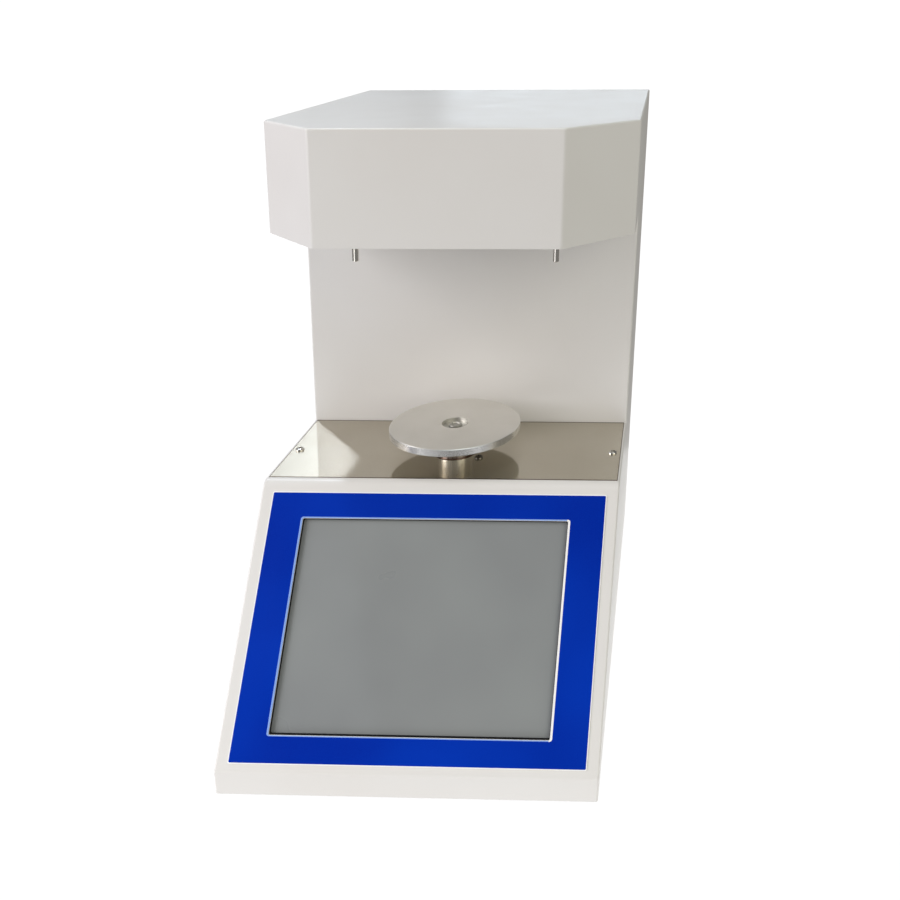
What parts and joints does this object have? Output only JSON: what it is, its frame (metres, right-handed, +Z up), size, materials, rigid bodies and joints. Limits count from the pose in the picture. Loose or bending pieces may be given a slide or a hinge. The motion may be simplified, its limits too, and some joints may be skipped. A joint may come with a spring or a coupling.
{
  "type": "surface tensiometer",
  "caption": "Bench surface tensiometer: slanted screen panel, polished deck, motor-lifted round platform, and a head that holds the force sensor and its hook.",
  "frame": {"origin": "on the bench, under the middle of the overall footprint", "axes": "+Z up, +X to the operator's right, +Y from the operator towards the back"},
  "size_m": [0.22, 0.3464, 0.3741],
  "materials": {
    "white_paint": "semi-gloss powder coat",
    "zinc_steel": "zinc plated",
    "polished_steel": "mirror polished stainless",
    "blue_film": "printed polyester film",
    "grey_screen": "matt anti-glare",
    "black_foam": "closed-cell foam",
    "display": "moulded frame",
    "steel": "polished stainless",
    "motor_steel": "laminated steel",
    "rubber": "matt",
    "aluminium": "bead-blasted",
    "bronze": "sintered bronze",
    "brass": "turned",
    "board": "lacquered circuit board",
    "black_plastic": "moulded",
    "supply_case": "potted block"
  },
  "bodies": {
    "instrument": {"amplifier_board": "board", "base_housing": "white_paint", "base_pan": "zinc_steel", "board_components": "black_plastic", "board_standoffs": "brass", "bush_screws": "steel", "cell_screws": "steel", "cell_spacer": "aluminium", "chassis_column": "zinc_steel", "column_housing": "white_paint", "control_board": "board", "deck_plate": "polished_steel", "deck_screws": "steel", "display_frame": "zinc_steel", "display_module": "display", "display_nuts": "steel", "end_sensors": "black_plastic", "foot_screws": "steel", "guide_rods": "steel", "hanger_pins": "steel", "head_cover": "white_paint", "head_floor": "white_paint", "head_floor_screws": "steel", "hook_stem": "steel", "inlet_blades": "brass", "inlet_screws": "steel", "jack_posts": "steel", "lift_base_plate": "aluminium", "lift_motor": "motor_steel", "lift_screws": "steel", "lift_top_plate": "aluminium", "load_cell": "aluminium", "overload_stop": "steel", "pan_screws": "steel", "panel_film": "blue_film", "pin_nuts": "steel", "post_bush": "bronze", "power_inlet": "black_plastic", "power_supply": "supply_case", "rear_panel": "white_paint", "rear_screws": "steel", "rubber_feet": "rubber", "screen_gasket": "black_foam", "sensor_shelf": "aluminium", "sensor_strip": "board", "serial_port": "steel", "stop_rings": "rubber", "switch_frame": "black_plastic", "touch_panel": "grey_screen"},
    "lift": {"platform_disc": "aluminium", "platform_screw": "steel", "platform_post": "steel", "post_screws": "steel", "lift_carriage": "aluminium", "guide_bushes": "steel", "lift_nut": "brass", "sensor_flag": "steel"},
    "lead_screw": {"lead_screw": "steel"},
    "hook": {"suspension_hook": "steel"},
    "rocker": {"power_rocker": "black_plastic"}
  },
  "joints": [
    {"name": "platform_lift", "type": "slide", "parent": "instrument", "child": "lift", "axis": [0, 0, 1], "range_m": [0, 0.04]},
    {"name": "screw_turn", "type": "hinge", "parent": "instrument", "child": "lead_screw", "pos_m": [0, -0.03415, 0.0545], "axis": [0, 0, 1], "range_deg": [-1801, 0]},
    {"name": "hook_swing", "type": "hinge", "parent": "instrument", "child": "hook", "pos_m": [0, -0.03415, 0.316], "axis": [0, 1, 0], "range_deg": [-10, 10]},
    {"name": "power_rock", "type": "hinge", "parent": "instrument", "child": "rocker", "pos_m": [0.012, 0.16685, 0.053], "axis": [1, 0, 0], "range_deg": [-16, 0]}
  ],
  "couplings": [
    {"joint": "screw_turn", "follows": "platform_lift", "rad_per_m": -785.4}
  ]
}
